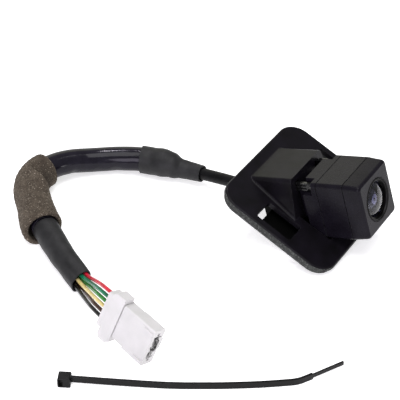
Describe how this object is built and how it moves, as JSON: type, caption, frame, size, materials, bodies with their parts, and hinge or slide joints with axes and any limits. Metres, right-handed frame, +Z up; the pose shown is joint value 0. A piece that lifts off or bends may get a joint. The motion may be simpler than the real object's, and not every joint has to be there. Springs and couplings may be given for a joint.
{
  "type": "reversing camera kit",
  "caption": "Square reversing camera in a slanted rounded bezel, with a short sleeved harness, a white multi-way connector and a loose cable tie.",
  "frame": {"origin": "bottom centre of the box around the camera assembly and the loose tie, on the table", "axes": "+X the way the lens looks along the table, +Y the camera's left, +Z up"},
  "size_m": [0.1594, 0.1542, 0.0339],
  "materials": {
    "housing_black": "fine spark-eroded grain",
    "housing_seals": "matt",
    "latch_arms": "satin",
    "lens_seal": "matt",
    "lens_barrel": "black anodised",
    "lens_glass": "coated",
    "infrared_filter": "coated",
    "lens_holder": "matt",
    "circuit_boards": "solder mask",
    "image_sensor": "glossy",
    "board_link": "satin",
    "shield_can": "tinned",
    "small_screws": "zinc plated",
    "board_spacers": "bright",
    "cable_header": "natural nylon",
    "cable_gland": "matt",
    "bezel_black": "fine grain",
    "bezel_gasket": "closed-cell foam",
    "camera_bracket": "satin",
    "panel_clips": "spring steel",
    "camera_cable": "satin jacket",
    "wire_bundle": "taped",
    "harness_tube": "glossy vinyl",
    "foam_sleeve": "open-cell foam",
    "shrink_sleeves": "matt",
    "wire_red": "satin",
    "wire_green": "satin",
    "wire_light_green": "satin",
    "wire_cream": "satin",
    "wire_brown": "satin",
    "wire_black": "satin",
    "connector_white": "natural white nylon",
    "connector_terminals": "tinned",
    "tie_black": "satin nylon"
  },
  "bodies": {
    "camera": {"camera_front_cover": "housing_black", "camera_mid_housing": "housing_black", "camera_rear_cover": "housing_black", "front_housing_seal": "housing_seals", "rear_housing_seal": "housing_seals", "lens_seal_ring": "lens_seal", "lens_barrel": "lens_barrel", "lens_retaining_ring": "lens_barrel", "lens_spacer_ring": "lens_barrel", "aperture_stop": "lens_barrel", "front_lens": "lens_glass", "second_lens": "lens_glass", "third_lens": "lens_glass", "infrared_filter": "infrared_filter", "lens_holder": "lens_holder", "sensor_board": "circuit_boards", "main_board": "circuit_boards", "image_sensor": "image_sensor", "board_link": "board_link", "shield_can": "shield_can", "housing_screws": "small_screws", "board_screws": "small_screws", "bracket_screws": "small_screws", "board_spacers": "board_spacers", "cable_header": "cable_header", "cable_plug": "cable_header", "cable_gland": "cable_gland", "mounting_bezel": "bezel_black", "bezel_gasket": "bezel_gasket", "camera_bracket": "camera_bracket", "camera_cable": "camera_cable", "wire_bundle": "wire_bundle", "harness_tube": "harness_tube", "foam_sleeve": "foam_sleeve", "front_shrink_sleeve": "shrink_sleeves", "rear_shrink_sleeve": "shrink_sleeves", "wire_red": "wire_red", "wire_green": "wire_green", "wire_light_green": "wire_light_green", "wire_cream": "wire_cream", "wire_brown": "wire_brown", "wire_black": "wire_black", "connector_housing": "connector_white", "connector_terminals": "connector_terminals"},
    "left_latch": {"left_latch_arm": "latch_arms"},
    "right_latch": {"right_latch_arm": "latch_arms"},
    "left_clip": {"left_panel_clip": "panel_clips"},
    "right_clip": {"right_panel_clip": "panel_clips"},
    "retainer": {"connector_retainer": "connector_white"},
    "plug_latch": {"connector_latch": "connector_white"},
    "tie": {"tie_strap": "tie_black"},
    "pawl": {"tie_pawl": "tie_black"}
  },
  "joints": [
    {"name": "left_latch_flex", "type": "hinge", "parent": "camera", "child": "left_latch", "pos_m": [-0.00319, 0.05686, 0.02544], "axis": [-0.2924, 0, 0.9563], "range_deg": [0, 4], "stiffness_Nm_per_rad": 0.05},
    {"name": "right_latch_flex", "type": "hinge", "parent": "camera", "child": "right_latch", "pos_m": [-0.00319, 0.03986, 0.02544], "axis": [0.2924, 0, -0.9563], "range_deg": [0, 4], "stiffness_Nm_per_rad": 0.05},
    {"name": "left_clip_flex", "type": "hinge", "parent": "camera", "child": "left_clip", "pos_m": [-0.02614, 0.06536, 0.01769], "axis": [-0.9135, 0, 0.4067], "range_deg": [0, 8], "stiffness_Nm_per_rad": 0.1},
    {"name": "right_clip_flex", "type": "hinge", "parent": "camera", "child": "right_clip", "pos_m": [-0.02614, 0.03136, 0.01769], "axis": [0.9135, 0, -0.4067], "range_deg": [0, 8], "stiffness_Nm_per_rad": 0.1},
    {"name": "connector_latch_press", "type": "hinge", "parent": "camera", "child": "plug_latch", "pos_m": [-0.02573, -0.04353, 0.00805], "axis": [0.2442, 0.3041, 0.9208], "range_deg": [0, 6], "stiffness_Nm_per_rad": 0.02},
    {"name": "connector_retainer_slide", "type": "slide", "parent": "camera", "child": "retainer", "axis": [-0.1681, -0.9219, 0.349], "range_m": [0, 0.0014]},
    {"name": "tie_lift", "type": "slide", "parent": "camera", "child": "tie", "axis": [0, 0, 1], "range_m": [0, 0.05]},
    {"name": "tie_pawl_flex", "type": "hinge", "parent": "tie", "child": "pawl", "pos_m": [-0.03808, -0.07323, 0.0021], "axis": [0, 0, 1], "range_deg": [0, 6], "stiffness_Nm_per_rad": 0.001}
  ]
}
